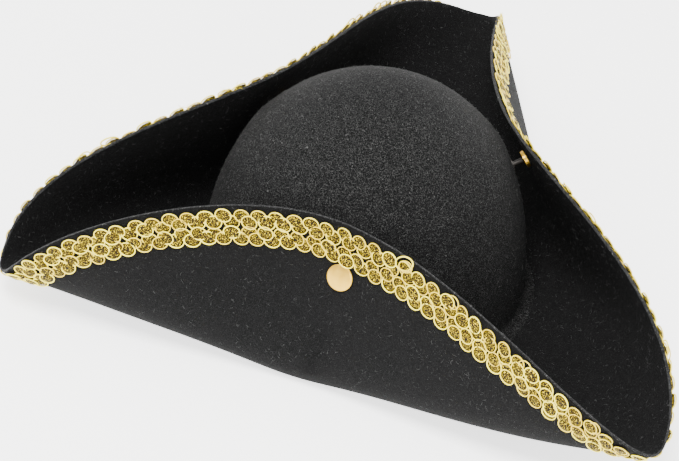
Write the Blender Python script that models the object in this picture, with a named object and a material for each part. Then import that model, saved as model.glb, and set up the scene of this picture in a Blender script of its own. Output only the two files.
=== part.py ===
"""Three-cornered felt hat: a crown, a brim, three turned-up flaps that press studs hold to the crown, and braid."""
import math

import bmesh
import bpy
import numpy as np
from mathutils import Matrix, Vector

# All lengths in metres, all turns in degrees counter-clockwise from +X seen from above. The wearer faces -Y.
FELT = 0.002
CROWN_HALF_WIDTH = 0.0922
CROWN_HALF_LENGTH = 0.0967
CROWN_HEIGHT = 0.1345
CROWN_TOP_POWER = 2.80
CROWN_SIDE_POWER = 2.09
CROWN_TAPER = 0.056
BRIM_START = 0.0068          # the brim runs level this far out from the crown's wall, then turns up
BRIM_CLEARANCE = 0.0005
BRIM_HEIGHT = 0.0012

# Each corner: turn, reach from the middle, height of the tip.
CORNERS = {"front": (-90.0, 0.213, 0.021), "left": (30.0, 0.238, 0.041), "right": (151.2, 0.239, 0.041)}
# Each flap: first corner, second corner, turn of its middle, reach and height of its edge there, reach of its fold.
FLAPS = {
    "left": ("front", "left", -31.0, 0.0817, 0.1025, 0.1132),
    "back": ("left", "right", 98.0, 0.0830, 0.1000, 0.1315),
    "right": ("right", "front", 215.0, 0.0805, 0.1035, 0.1162),
}
TIP_HANDLE = 0.012           # how far the edge runs square to the corner at its tip
TIP_SETBACK = 0.011
TIP_RISE = 0.005
MID_HANDLE = 0.083           # how far the edge runs level past the flap's middle
MID_SPREAD = 0.0715
MID_DROP = 0.0285
FOLD_HEIGHT = 0.0095
FOLD_MID_HANDLE = 0.030
FOLD_TIP_HANDLE = 0.054
FOLD_TIP_REACH = 0.70        # the fold's reach at a corner, as a share of the corner's own reach
FOLD_TIP_HEIGHT = 0.0092
LEAN_UP = 0.297
LEAN_OUT = 0.114

CREASE_HEIGHT = 0.042        # a flap turns above this level
CREASE_GAP = 0.0012
FLAP_LEAST_DEPTH = 0.010
FLAP_END_GAP = 0.008

BRAID = 0.0012
BRAID_CLEARANCE = 0.0007
UPPER_BAND = (0.0040, 0.0122)  # distance from the raw edge to each side of the band
LOWER_BAND = (0.0130, 0.0212)

CAP_RADIUS = 0.0077
CAP_HEIGHT = 0.0014
SOCKET_RADIUS = 0.0052
SOCKET_BORE = 0.0034
SOCKET_HEIGHT = 0.0020
STUD_RADIUS = 0.0050
STUD_BASE = 0.0008
STUD_POST_RADIUS = 0.0019
STUD_ENTRY = 0.0006
TOUCH = 0.0003
DISC_CLEARANCE = 0.0009       # the curved felt bows this much nearer to a flat disc
STUDS = {"left": (0.090, 0.0292), "back": (0.0, 0.0292), "right": (-0.100, 0.0350)}   # along the edge, down from it

BAND_HEIGHT = 0.030
BAND_LIFT = 0.004
BAND_THICKNESS = 0.0009
BAND_CLEARANCE = 0.0006

CROWN_SIDES = 56
CROWN_RINGS = 13
BRIM_ROWS = 7
BRIM_COLUMNS = 24
CORNER_COLUMNS = 7
FLAP_ROWS = 9
STEPS = 241


def material(name, colour, roughness, metallic):
    mat = bpy.data.materials.new(name)
    mat.use_nodes = True
    shader = mat.node_tree.nodes["Principled BSDF"]
    shader.inputs["Base Color"].default_value = (*colour, 1.0)
    shader.inputs["Roughness"].default_value = roughness
    shader.inputs["Metallic"].default_value = metallic
    mat.diffuse_color = (*colour, 1.0)
    return mat


def direction(turn):
    return np.array([math.cos(turn), math.sin(turn), 0.0])


def bezier(points, t):
    """A Bezier curve of any degree at each value of t."""
    degree = len(points) - 1
    total = np.zeros((len(t), 3))
    for index, point in enumerate(points):
        weight = math.comb(degree, index) * t ** index * (1 - t) ** (degree - index)
        total += weight[:, None] * np.asarray(point)
    return total


def oval(turn, inset=0.0):
    """Reach of the crown's oval in one direction."""
    return 1.0 / np.sqrt((np.cos(turn) / (CROWN_HALF_WIDTH - inset)) ** 2
                         + (np.sin(turn) / (CROWN_HALF_LENGTH - inset)) ** 2)


def crown_share(level):
    """The crown's reach at a share of its height, as a share of its reach at the base."""
    level = np.clip(level, 0.0, 1.0)
    return (1 - level ** CROWN_TOP_POWER) ** (1 / CROWN_SIDE_POWER) * (1 - CROWN_TAPER * level)


def half_curves(flap, corner):
    """Edge, fold and base of one half of a flap, from its middle (0) to a corner's tip (1)."""
    first, _, mid_turn, mid_reach, mid_height, fold_reach = FLAPS[flap]
    turn, reach, height = CORNERS[corner]
    if flap == "right" and corner == "front":
        turn += 360.0
    way = 1.0 if corner == first else -1.0
    turn, mid_turn = math.radians(turn), math.radians(mid_turn)
    out, along = direction(turn), direction(turn + math.pi / 2) * way
    mid_out, mid_along = direction(mid_turn), direction(mid_turn + math.pi / 2) * way
    up = np.array([0.0, 0.0, 1.0])
    tip = out * reach + up * height
    middle = mid_out * mid_reach + up * mid_height
    edge = [middle, middle - mid_along * MID_HANDLE,
            middle - mid_along * 2 * MID_HANDLE + mid_out * MID_SPREAD - up * MID_DROP,
            tip + along * 0.9 * TIP_HANDLE - out * TIP_SETBACK + up * TIP_RISE,
            tip + along * TIP_HANDLE, tip]
    fold_mid = mid_out * fold_reach + up * FOLD_HEIGHT
    fold_tip = out * reach * FOLD_TIP_REACH + up * FOLD_TIP_HEIGHT
    fold = [fold_mid, fold_mid - mid_along * FOLD_MID_HANDLE, fold_tip + along * FOLD_TIP_HANDLE, fold_tip]
    # Equal steps along the raw edge, so that the columns of faces are evenly wide there.
    fine = np.linspace(0.0, 1.0, STEPS)
    walk = np.concatenate([[0.0], np.cumsum(np.linalg.norm(np.diff(bezier(edge, fine), axis=0), axis=1))])
    return edge, fold, mid_turn, turn, fine, walk / walk[-1]


def flap_column(flap, along, rows):
    """Points up the felt at one place along a flap: -1 is its first corner, 0 its middle, 1 its second corner."""
    corner = FLAPS[flap][0] if along < 0 else FLAPS[flap][1]
    edge, fold, mid_turn, turn, fine, walk = half_curves(flap, corner)
    t = np.array([np.interp(abs(along), walk, fine)])
    angle = mid_turn + (turn - mid_turn) * t[0]
    base = direction(angle) * (oval(angle) + BRIM_START) + np.array([0.0, 0.0, BRIM_HEIGHT])
    low, high = bezier(fold, t)[0], bezier(edge, t)[0]
    lean = low + (high - low) * LEAN_UP + (low - base) * LEAN_OUT
    return bezier([base, low, lean, high], np.asarray(rows))


def fine_column(flap, along):
    rows = np.linspace(0.0, 1.0, STEPS)
    return rows, flap_column(flap, along, rows)


def row_at_height(flap, along, height):
    rows, points = fine_column(flap, along)
    return float(np.interp(height, points[:, 2], rows))


def row_at_depth(flap, along, depth):
    """The row that lies a given distance down the felt from the raw edge."""
    rows, points = fine_column(flap, along)
    steps = np.linalg.norm(np.diff(points, axis=0), axis=1)
    from_edge = np.concatenate([[0.0], np.cumsum(steps[::-1])])
    return float(np.interp(depth, from_edge, rows[::-1]))


def depth_above_crease(flap, along):
    _, points = fine_column(flap, along)
    above = points[points[:, 2] > CREASE_HEIGHT]
    return float(np.linalg.norm(np.diff(above, axis=0), axis=1).sum()) if len(above) > 1 else 0.0


def flap_reach(flap, least_depth):
    """How far along, both ways, a flap stands at least this far above its crease."""
    places = np.linspace(-0.98, 0.98, 197)
    deep = [place for place in places if depth_above_crease(flap, place) >= least_depth]
    return min(deep), max(deep)


def felt_frame(flap, along, row):
    """Point in the middle of the felt, and the felt's outward direction there."""
    step = 0.004
    point = flap_column(flap, along, [row])[0]
    side = flap_column(flap, along + step, [row])[0] - flap_column(flap, along - step, [row])[0]
    lift = flap_column(flap, along, [min(row + step, 1.0)])[0] - flap_column(flap, along, [row - step])[0]
    outward = np.cross(side, lift)
    return point, outward / np.linalg.norm(outward)


def crown_frame(turn, height):
    """Point on the crown's outside and its outward direction."""
    def place(angle, z):
        return direction(angle) * oval(angle) * crown_share(z / CROWN_HEIGHT) + np.array([0.0, 0.0, z])
    step = 0.001
    outward = np.cross(place(turn + step, height) - place(turn - step, height),
                       place(turn, height + step) - place(turn, height - step))
    return place(turn, height), outward / np.linalg.norm(outward)


def add_object(name, mesh, mat, origin=(0.0, 0.0, 0.0)):
    mesh.transform(Matrix.Translation(-Vector(origin)))
    mesh.materials.append(mat)
    obj = bpy.data.objects.new(name, mesh)
    bpy.context.collection.objects.link(obj)
    obj.location = origin
    return obj


def skin(name, grid, mat, origin=(0.0, 0.0, 0.0), closed=False, poles=False, loops=False,
         thickness=0.0):
    """Lay quads over a grid of points. A single sheet is thickened evenly to both sides."""
    bm = bmesh.new()
    verts = [[bm.verts.new(point) for point in column] for column in grid]
    count = len(verts)
    if loops:
        verts = [column + [column[0]] for column in verts]
    if poles:
        # The first and last points of every column are the same two poles.
        for column in verts[1:]:
            bm.verts.remove(column[0])
            bm.verts.remove(column[-1])
            column[0], column[-1] = verts[0][0], verts[0][-1]
    for index in range(count if closed else count - 1):
        left, right = verts[index], verts[(index + 1) % count]
        for low in range(len(left) - 1):
            ring = []
            for vert in (left[low], right[low], right[low + 1], left[low + 1]):
                if vert not in ring:
                    ring.append(vert)
            bm.faces.new(ring)
    if not thickness:
        bmesh.ops.recalc_face_normals(bm, faces=bm.faces)
    for face in bm.faces:
        face.smooth = True
    mesh = bpy.data.meshes.new(name)
    bm.to_mesh(mesh)
    bm.free()
    obj = add_object(name, mesh, mat, origin)
    if thickness:
        solid = obj.modifiers.new("felt thickness", "SOLIDIFY")
        solid.thickness = thickness
        solid.offset = 0.0
        solid.use_even_offset = True
    return obj


def ribbon(name, flap_places, band, mat, origin=(0.0, 0.0, 0.0)):
    """A flat strip of braid that lies on the outside of the felt."""
    grid = []
    for flap, along in flap_places:
        column = []
        for share in (0.0, 0.5, 1.0):
            row = row_at_depth(flap, along, band[1] + (band[0] - band[1]) * share)
            point, outward = felt_frame(flap, along, row)
            column.append(point + outward * (FELT / 2 + BRAID_CLEARANCE + BRAID / 2))
        grid.append(column)
    return skin(name, grid, mat, origin, thickness=BRAID)


def turned(name, profile, mat, centre, outward, sides=24, origin=(0.0, 0.0, 0.0)):
    """Spin a closed or pole-to-pole profile of (radius, height) about the outward direction."""
    turn = Vector((0.0, 0.0, 1.0)).rotation_difference(Vector(outward)).to_matrix().to_4x4()
    place = Matrix.Translation(Vector(centre)) @ turn
    grid = []
    for side in range(sides):
        angle = 2 * math.pi * side / sides
        grid.append([place @ Vector((r * math.cos(angle), r * math.sin(angle), z)) for r, z in profile])
    solid = profile[0][0] == 0.0
    return skin(name, grid, mat, origin, closed=True, poles=solid, loops=not solid)


for leftover in list(bpy.data.objects):
    bpy.data.objects.remove(leftover, do_unlink=True)

black_felt = material("black_felt", (0.022, 0.022, 0.023), 0.92, 0.0)
gold_braid = material("gold_braid", (0.62, 0.45, 0.12), 0.38, 0.6)
gold_metal = material("gold_metal", (0.80, 0.62, 0.33), 0.30, 1.0)
black_tape = material("black_tape", (0.015, 0.015, 0.016), 0.75, 0.0)

# Crown: one pressed felt cup, open below, with a flat rim at height 0.
levels = np.sin(np.linspace(0.0, 1.0, CROWN_RINGS) * math.pi / 2)[::-1]
crown_grid = []
for side in range(CROWN_SIDES):
    turn = 2 * math.pi * side / CROWN_SIDES
    outer = [direction(turn) * oval(turn) * crown_share(level) + np.array([0, 0, CROWN_HEIGHT * level])
             for level in levels]
    inner = [direction(turn) * oval(turn, FELT) * crown_share(level)
             + np.array([0, 0, (CROWN_HEIGHT - FELT) * level]) for level in levels[::-1]]
    crown_grid.append(outer + inner)
crown = skin("crown", crown_grid, black_felt, closed=True, poles=True)

# Sweatband: a thin tape ring just inside the crown.
band_grid = []
for side in range(CROWN_SIDES):
    turn = 2 * math.pi * side / CROWN_SIDES
    loop = []
    for inset, height in ((0, BAND_LIFT), (1, BAND_LIFT), (1, BAND_LIFT + BAND_HEIGHT), (0, BAND_LIFT + BAND_HEIGHT)):
        reach = oval(turn, FELT) * crown_share(height / (CROWN_HEIGHT - FELT)) - BAND_CLEARANCE
        loop.append(direction(turn) * (reach - BAND_THICKNESS * inset) + np.array([0, 0, height]))
    band_grid.append(loop)
skin("sweatband", band_grid, black_tape, closed=True, loops=True)

# Brim: a ring of felt that runs up to each crease, and out to the tips at the corners.
brim_grid = []
for flap in FLAPS:
    low, high = flap_reach(flap, FLAP_LEAST_DEPTH)
    ends = np.linspace(-1.0, low - FLAP_END_GAP * 2, CORNER_COLUMNS)
    far_ends = np.linspace(high + FLAP_END_GAP * 2, 1.0, CORNER_COLUMNS)[:-1]
    for along in np.concatenate([ends, np.linspace(low, high, BRIM_COLUMNS), far_ends]):
        inside = low <= along <= high
        top = row_at_height(flap, along, CREASE_HEIGHT - CREASE_GAP) if inside else 1.0
        column = flap_column(flap, along, np.linspace(0.0, top, BRIM_ROWS))
        turn = math.atan2(column[0][1], column[0][0])
        join = direction(turn) * (oval(turn) + BRIM_CLEARANCE) + np.array([0.0, 0.0, BRIM_HEIGHT])
        brim_grid.append(np.vstack([join, column]))
skin("brim", brim_grid, black_felt, closed=True, thickness=FELT)

up = np.array([0.0, 0.0, 1.0])
for flap, (first, second, *_rest) in FLAPS.items():
    tips = [direction(math.radians(CORNERS[corner][0])) * CORNERS[corner][1] for corner in (first, second)]
    chord = (tips[1] - tips[0]) / np.linalg.norm(tips[1] - tips[0])
    outside = np.cross(chord, up)
    low, high = flap_reach(flap, FLAP_LEAST_DEPTH)
    places = np.linspace(low + FLAP_END_GAP, high - FLAP_END_GAP, BRIM_COLUMNS)
    flap_grid = []
    for along in places:
        crease = row_at_height(flap, along, CREASE_HEIGHT)
        flap_grid.append(flap_column(flap, along, np.linspace(crease, 1.0, FLAP_ROWS)))
    # The hinge line runs level along the outermost part of the crease.
    reach = max(float(column[0] @ outside) for column in flap_grid) + FELT / 2
    hinge = outside * reach + up * CREASE_HEIGHT + chord * float((tips[0] + tips[1]) @ chord) / 2
    pivot = bpy.data.objects.new(flap + "_hinge", None)
    pivot.location = hinge
    bpy.context.collection.objects.link(pivot)
    pieces = [skin(flap + "_flap", flap_grid, black_felt, thickness=FELT)]
    print(flap, "hinge", [round(float(v), 5) for v in hinge], "axis", [round(float(v), 6) for v in chord])

    for label, band in (("upper", UPPER_BAND), ("lower", LOWER_BAND)):
        start, stop = flap_reach(flap, band[1] + BRAID)
        run = [(flap, along) for along in places if start <= along <= stop]
        pieces.append(ribbon(flap + "_braid_" + label, run, band, gold_braid))

    along, depth = STUDS[flap]
    point, outward = felt_frame(flap, along, row_at_depth(flap, along, depth))
    cap_seat = point + outward * (FELT / 2 + DISC_CLEARANCE)
    cap = [(0.0, CAP_HEIGHT), (CAP_RADIUS * 0.55, CAP_HEIGHT * 0.93), (CAP_RADIUS * 0.88, CAP_HEIGHT * 0.70),
           (CAP_RADIUS, CAP_HEIGHT * 0.35), (CAP_RADIUS, 0.0), (0.0, 0.0)]
    pieces.append(turned(flap + "_cap", cap, gold_metal, cap_seat, outward, 32))
    socket_seat = point - outward * (FELT / 2 + DISC_CLEARANCE + SOCKET_HEIGHT)
    ring = [(SOCKET_RADIUS, 0.0), (SOCKET_RADIUS, SOCKET_HEIGHT), (SOCKET_BORE, SOCKET_HEIGHT), (SOCKET_BORE, 0.0)]
    pieces.append(turned(flap + "_socket", ring, gold_metal, socket_seat, outward, 24))
    for piece in pieces:
        piece.parent = pivot
        piece.location = piece.location - pivot.location

    # The stud on the crown meets the socket's open face.
    turn, height = math.atan2(socket_seat[1], socket_seat[0]), socket_seat[2]
    for _ in range(12):
        seat, crown_out = crown_frame(turn, height)
        miss = socket_seat - seat
        miss = miss - crown_out * float(miss @ crown_out)
        turn, height = turn + float(miss @ direction(turn + math.pi / 2)) / oval(turn), height + miss[2]
    gap = float((socket_seat - seat) @ crown_out)
    tall = gap + STUD_ENTRY - TOUCH
    print(flap, "stud", [round(float(v), 4) for v in point], "felt to socket gap", round(gap, 4))
    stud = [(0.0, tall), (STUD_POST_RADIUS * 0.8, tall), (STUD_POST_RADIUS, tall * 0.8),
            (STUD_POST_RADIUS * 0.85, STUD_BASE * 1.5), (STUD_RADIUS, STUD_BASE), (STUD_RADIUS, 0.0), (0.0, 0.0)]
    turned(flap + "_stud", stud, gold_metal, seat + crown_out * TOUCH, crown_out, 24)
    post = [(0.0, STUD_BASE), (STUD_RADIUS, STUD_BASE), (STUD_RADIUS, 0.0), (0.0, 0.0)]
    turned(flap + "_post", post, gold_metal, seat - crown_out * (FELT + TOUCH * 2 + STUD_BASE), crown_out, 24)

# Braid round each corner, both rows in one strip.
for corner, (before, after) in {"front": ("right", "left"), "left": ("left", "back"), "right": ("back", "right")}.items():
    end = flap_reach(before, FLAP_LEAST_DEPTH)[1]
    start = flap_reach(after, FLAP_LEAST_DEPTH)[0]
    run = [(before, along) for along in np.linspace(end + 0.04, 0.985, 8)]
    run += [(after, along) for along in np.linspace(-0.985, start - 0.04, 8)]
    ribbon(corner + "_braid", run, (UPPER_BAND[0], LOWER_BAND[1]), gold_braid)
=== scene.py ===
# %% [markdown]
# # A three-cornered felt hat
#
# The hat is one piece of needled black felt: a rounded crown with a wide brim, turned up on three sides. A
# press stud holds each turned-up flap to the crown, and two rows of looped gold braid follow the raw edge.
# The measured frame comes first. Every piece made here lies where the frame says; the crown and its fibres,
# the stud caps, and the sweatband and its stitches are attached to its bodies.

# %% Load the frame
import math

import bmesh
import bpy
import numpy as np
from mathutils import Euler, Matrix, Vector


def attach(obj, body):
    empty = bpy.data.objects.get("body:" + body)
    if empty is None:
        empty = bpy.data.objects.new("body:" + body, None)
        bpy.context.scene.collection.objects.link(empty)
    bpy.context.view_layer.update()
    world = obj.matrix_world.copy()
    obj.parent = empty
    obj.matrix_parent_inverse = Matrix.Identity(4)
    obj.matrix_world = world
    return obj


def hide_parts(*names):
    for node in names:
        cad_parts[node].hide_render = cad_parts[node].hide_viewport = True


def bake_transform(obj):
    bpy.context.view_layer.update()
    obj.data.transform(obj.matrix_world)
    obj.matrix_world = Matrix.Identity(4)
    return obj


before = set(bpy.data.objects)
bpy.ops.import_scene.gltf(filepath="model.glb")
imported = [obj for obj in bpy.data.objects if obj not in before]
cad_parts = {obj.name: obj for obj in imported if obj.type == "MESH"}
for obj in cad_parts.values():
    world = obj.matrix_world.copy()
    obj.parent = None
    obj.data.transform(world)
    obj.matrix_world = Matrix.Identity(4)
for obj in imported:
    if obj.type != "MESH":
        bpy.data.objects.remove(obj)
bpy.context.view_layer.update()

# %% [markdown]
# Two small helpers serve every material. Colours are written the way a paint chart gives them, as sRGB hex,
# but a shader works in linear light, so one function turns them. The other adds a node with its settings,
# values and links in one call, which keeps a material's recipe readable from top to bottom.

# %% Helpers for colours and nodes


def linear(code):
    """An sRGB hex colour as the linear colour that a shader takes."""
    parts = [int(code[place:place + 2], 16) / 255 for place in (1, 3, 5)]
    turned = [part / 12.92 if part <= 0.04045 else ((part + 0.055) / 1.055) ** 2.4 for part in parts]
    return (*turned, 1.0)


def add_node(tree, kind, links=None, values=None, **settings):
    """Adds a node. links and values name its inputs by name or number; a linked node gives its first output."""
    node = tree.nodes.new(kind)
    for name, value in settings.items():
        setattr(node, name, value)
    for name, value in (values or {}).items():
        node.inputs[name].default_value = value
    for name, source in (links or {}).items():
        tree.links.new(source.outputs[0] if isinstance(source, bpy.types.Node) else source, node.inputs[name])
    return node


def new_material(name, **shader_values):
    """A material with a Principled shader, and its tree."""
    material = bpy.data.materials.new(name)
    material.use_nodes = True
    tree = material.node_tree
    shader = tree.nodes["Principled BSDF"]
    for label, value in shader_values.items():
        shader.inputs[label.replace("_", " ")].default_value = value
    return material, tree, shader


# %% [markdown]
# ## The camera and the room
#
# The hat is seen from its left side, a little from above, through a long lens that keeps its corners in
# proportion. The camera leans slightly, so the hat seems to tip towards its front corner. Making the camera
# first means that every later look at the hat is from the view that matters.

# %% Camera
SIDE_TURN = math.radians(75.3)
ABOVE = math.radians(37.9)
LEAN = math.radians(6.7)
CAMERA_DISTANCE = 1.534
AIM_HEIGHT = 0.05
AIM_SIDE = math.radians(0.64)
AIM_LIFT = math.radians(0.43)

back = Vector((math.sin(SIDE_TURN) * math.cos(ABOVE), -math.cos(SIDE_TURN) * math.cos(ABOVE),
               math.sin(ABOVE)))
right = Vector((math.cos(SIDE_TURN), math.sin(SIDE_TURN), 0.0))
upward = back.cross(right)
axes = [right * math.cos(LEAN) + upward * math.sin(LEAN),
        upward * math.cos(LEAN) - right * math.sin(LEAN), back]
turn = Matrix(axes).transposed().to_4x4() @ Euler((0.0, AIM_SIDE, 0.0)).to_matrix().to_4x4()
turn = turn @ Euler((-AIM_LIFT, 0.0, 0.0)).to_matrix().to_4x4()
camera_data = bpy.data.cameras.new("camera")
camera_data.lens = 139.6
camera_data.sensor_width = 36.0
camera_data.clip_end = 50.0
camera = bpy.data.objects.new("camera", camera_data)
camera.matrix_world = Matrix.Translation(back * CAMERA_DISTANCE + Vector((0, 0, AIM_HEIGHT))) @ turn
bpy.context.collection.objects.link(camera)
bpy.context.scene.camera = camera
print("camera", [round(value, 3) for value in camera.location])

# %% [markdown]
# A glowing white floor lights the hat from below, the way a product table does, so it casts hardly a
# shadow. Two large soft lamps do the shaping: one high, which lights the crown's top, and one low in front,
# which lifts the near flap and leaves the hollows behind it dark. Black felt returns so little light that
# the lamps are strong.

# %% Floor, room and lamps
floor_material, _, _ = new_material("white_cove", Base_Color=linear("#F4F4F3"), Roughness=0.9,
                                     Emission_Color=linear("#FFFFFF"), Emission_Strength=2.1)
bpy.ops.mesh.primitive_plane_add(size=16.0, location=(0, 0, -0.0006))
floor = bpy.context.object
floor.name = "floor"
floor.data.materials.append(floor_material)

world = bpy.data.worlds.new("room")
bpy.context.scene.world = world
world.use_nodes = True
world.node_tree.nodes["Background"].inputs["Color"].default_value = linear("#FFFFFF")
world.node_tree.nodes["Background"].inputs["Strength"].default_value = 1.7


def add_lamp(name, place, aim, size, power):
    """A square soft lamp at place, facing aim."""
    data = bpy.data.lights.new(name, "AREA")
    data.size = size
    data.energy = power
    lamp = bpy.data.objects.new(name, data)
    lamp.location = place
    lamp.rotation_euler = (Vector(aim) - Vector(place)).to_track_quat("-Z", "Y").to_euler()
    bpy.context.collection.objects.link(lamp)


add_lamp("high_lamp", (0.65, -0.42, 1.85), (0, 0, 0.1), 0.75, 80.0)
add_lamp("front_lamp", (2.3, -0.5, 0.75), (0, 0, 0.06), 0.9, 24.0)
print("lamps", [item.name for item in bpy.data.lights])

# %% [markdown]
# ## The shape of the felt
#
# A hatter blocks the crown over an oval form, then turns the brim up along three creases. So the crown
# follows one rule: an oval whose reach shrinks towards the top by a power curve. The brim follows four
# rails that run from corner to corner: where it leaves the crown, the bottom of the fold, how the flap
# leans, and its raw edge. A smooth curve through the four rails at each place gives the felt. The same
# numbers made the frame, so the pieces fit.

# %% Sizes of the hat
FELT = 0.002
CROWN_HALF_WIDTH = 0.0922
CROWN_HALF_LENGTH = 0.0967
CROWN_HEIGHT = 0.1345
CROWN_TOP_POWER = 2.80
CROWN_SIDE_POWER = 2.09
CROWN_TAPER = 0.056
BRIM_START = 0.0068
BRIM_HEIGHT = 0.0012
# Each corner: turn, reach and height of its tip.
CORNERS = {"front": (-90.0, 0.213, 0.021), "left": (30.0, 0.238, 0.041), "right": (151.2, 0.239, 0.041)}
# Each flap: its two corners, turn of its middle, reach and height of its edge there, reach of its fold.
FLAPS = {
    "left": ("front", "left", -31.0, 0.0817, 0.1025, 0.1132),
    "back": ("left", "right", 98.0, 0.0830, 0.1000, 0.1315),
    "right": ("right", "front", 215.0, 0.0805, 0.1035, 0.1162),
}
TIP_HANDLE, TIP_SETBACK, TIP_RISE = 0.012, 0.011, 0.005
MID_HANDLE, MID_SPREAD, MID_DROP = 0.083, 0.0715, 0.0285
FOLD_HEIGHT, FOLD_MID_HANDLE, FOLD_TIP_HANDLE = 0.0095, 0.030, 0.054
FOLD_TIP_REACH, FOLD_TIP_HEIGHT = 0.70, 0.0092
LEAN_UP, LEAN_OUT = 0.297, 0.114
CREASE_HEIGHT = 0.042
UP = np.array([0.0, 0.0, 1.0])


def direction(angle):
    """Level unit vectors for one angle or many."""
    angle = np.asarray(angle, float)
    return np.stack([np.cos(angle), np.sin(angle), np.zeros_like(angle)], axis=-1)


def oval(angle, inset=0.0):
    """Reach of the crown's oval, for one angle or many."""
    return 1 / np.sqrt((np.cos(angle) / (CROWN_HALF_WIDTH - inset)) ** 2
                       + (np.sin(angle) / (CROWN_HALF_LENGTH - inset)) ** 2)


def crown_share(level):
    """The crown's reach at a share of its height, as a share of its reach at the base."""
    level = np.clip(level, 0.0, 1.0)
    return (1 - level ** CROWN_TOP_POWER) ** (1 / CROWN_SIDE_POWER) * (1 - CROWN_TAPER * level)


def bezier(points, t):
    """A Bezier curve of any degree at each t. Each point is one vector, or one for each t."""
    degree = len(points) - 1
    t = np.asarray(t)[..., None]
    return sum(math.comb(degree, i) * t ** i * (1 - t) ** (degree - i) * np.asarray(point)
               for i, point in enumerate(points))


# %% [markdown]
# The rails are worked out for half a flap at a time, from its middle to one corner. Equal steps are walked
# along the raw edge rather than along the curve's own parameter, so that stitches and loops laid along it
# later keep an even spacing.

# %% Rails of the brim
FINE = np.linspace(0.0, 1.0, 401)


def half_rails(flap, corner):
    """Control points of the edge and fold of half a flap, the two turns, and the walk along the edge."""
    first, _, mid_turn, mid_reach, mid_height, fold_reach = FLAPS[flap]
    turn, reach, height = CORNERS[corner]
    if flap == "right" and corner == "front":
        turn += 360.0
    way = 1.0 if corner == first else -1.0
    turn, mid_turn = math.radians(turn), math.radians(mid_turn)
    out, along = direction(turn), direction(turn + math.pi / 2) * way
    mid_out, mid_along = direction(mid_turn), direction(mid_turn + math.pi / 2) * way
    tip = out * reach + UP * height
    middle = mid_out * mid_reach + UP * mid_height
    edge = [middle, middle - mid_along * MID_HANDLE,
            middle - mid_along * 2 * MID_HANDLE + mid_out * MID_SPREAD - UP * MID_DROP,
            tip + along * 0.9 * TIP_HANDLE - out * TIP_SETBACK + UP * TIP_RISE, tip + along * TIP_HANDLE, tip]
    fold_mid = mid_out * fold_reach + UP * FOLD_HEIGHT
    fold_tip = out * reach * FOLD_TIP_REACH + UP * FOLD_TIP_HEIGHT
    fold = [fold_mid, fold_mid - mid_along * FOLD_MID_HANDLE, fold_tip + along * FOLD_TIP_HANDLE, fold_tip]
    steps = np.linalg.norm(np.diff(bezier(edge, FINE), axis=0), axis=1)
    return edge, fold, mid_turn, turn, np.concatenate([[0.0], np.cumsum(steps)])


RAILS = {flap: [half_rails(flap, corner) for corner in FLAPS[flap][:2]] for flap in FLAPS}
EDGE_LENGTH = {flap: [rails[4][-1] for rails in RAILS[flap]] for flap in FLAPS}
print("raw edge, metres:", {flap: round(sum(halves), 3) for flap, halves in EDGE_LENGTH.items()})


def felt_points(flap, along, rows):
    """Middle of the felt: along from -1 at the first corner to 1 at the second, rows from crown to raw edge."""
    along, rows = np.broadcast_arrays(np.asarray(along, float), np.asarray(rows, float))
    points = np.zeros(along.shape + (3,))
    for side, (edge, fold, mid_turn, turn, walk) in zip((-1, 1), RAILS[flap]):
        pick = along < 0 if side < 0 else along >= 0
        t = np.interp(np.abs(along[pick]), walk / walk[-1], FINE)
        angle = mid_turn + (turn - mid_turn) * t
        base = direction(angle) * (oval(angle) + BRIM_START)[..., None] + UP * BRIM_HEIGHT
        low, high = bezier(fold, t), bezier(edge, t)
        lean = low + (high - low) * LEAN_UP + (low - base) * LEAN_OUT
        points[pick] = bezier([base, low, lean, high], rows[pick])
    return points


def felt_frame(flap, along, rows):
    """Middle of the felt, its outward direction, the way along it and the way up it."""
    step = 0.0015
    before, after = np.clip(along - step, -1, 1), np.clip(along + step, -1, 1)
    below, above = np.clip(rows - step, 0, 1), np.clip(rows + step, 0, 1)
    side = felt_points(flap, after, rows) - felt_points(flap, before, rows)
    lift = felt_points(flap, along, above) - felt_points(flap, along, below)
    outward = np.cross(side, lift)
    outward /= np.linalg.norm(outward, axis=-1, keepdims=True)
    side /= np.linalg.norm(side, axis=-1, keepdims=True)
    return felt_points(flap, along, rows), outward, side, np.cross(outward, side)


# %% [markdown]
# ## Felt pieces
#
# The felt is 2 mm thick, and its edge is cut, not hemmed. Each flap piece runs from the crown out to the
# raw edge and from corner to corner. A piece is a grid of points laid outside, round the cut edge and back
# inside, which closes it. The grid crowds towards the corners, where the felt turns sharply. The seams
# between pieces are marked sharp, so their hidden walls don't shade the felt.

# %% Lay a felt grid


def write_mesh(bm, mesh, outward=True, smooth=True):
    """Turns the faces outwards, shades them, and leaves them in the mesh."""
    if outward:
        bmesh.ops.recalc_face_normals(bm, faces=bm.faces)
    for face in bm.faces:
        face.smooth = smooth
    bm.to_mesh(mesh)
    bm.free()
    return mesh


def loop_mesh(name, grid, closed=False, base_wall=True):
    """A shell from a grid of loops: columns of points that run out along one side of the felt and back."""
    columns, loop, _ = grid.shape
    count = columns if closed else columns - 1
    index = np.arange(columns * loop).reshape(columns, loop)
    faces = []
    for column in range(count):
        here, there = index[column], index[(column + 1) % columns]
        for point in range(loop if base_wall else loop - 1):
            after = (point + 1) % loop
            faces.append((here[point], there[point], there[after], here[after]))
    walls = []
    if not closed:
        half = loop // 2
        for column, flip in ((0, False), (columns - 1, True)):
            here = index[column]
            for point in range(half - 1 + loop % 2):
                a, b, c, d = here[point], here[point + 1], here[loop - 2 - point], here[loop - 1 - point]
                if b == c:
                    continue
                walls.append((a, d, c, b) if flip else (a, b, c, d))
    mesh = bpy.data.meshes.new(name)
    mesh.from_pydata(grid.reshape(-1, 3).tolist(), [],
                     [tuple(int(corner) for corner in face) for face in faces + walls])
    return mesh, len(faces)


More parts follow.
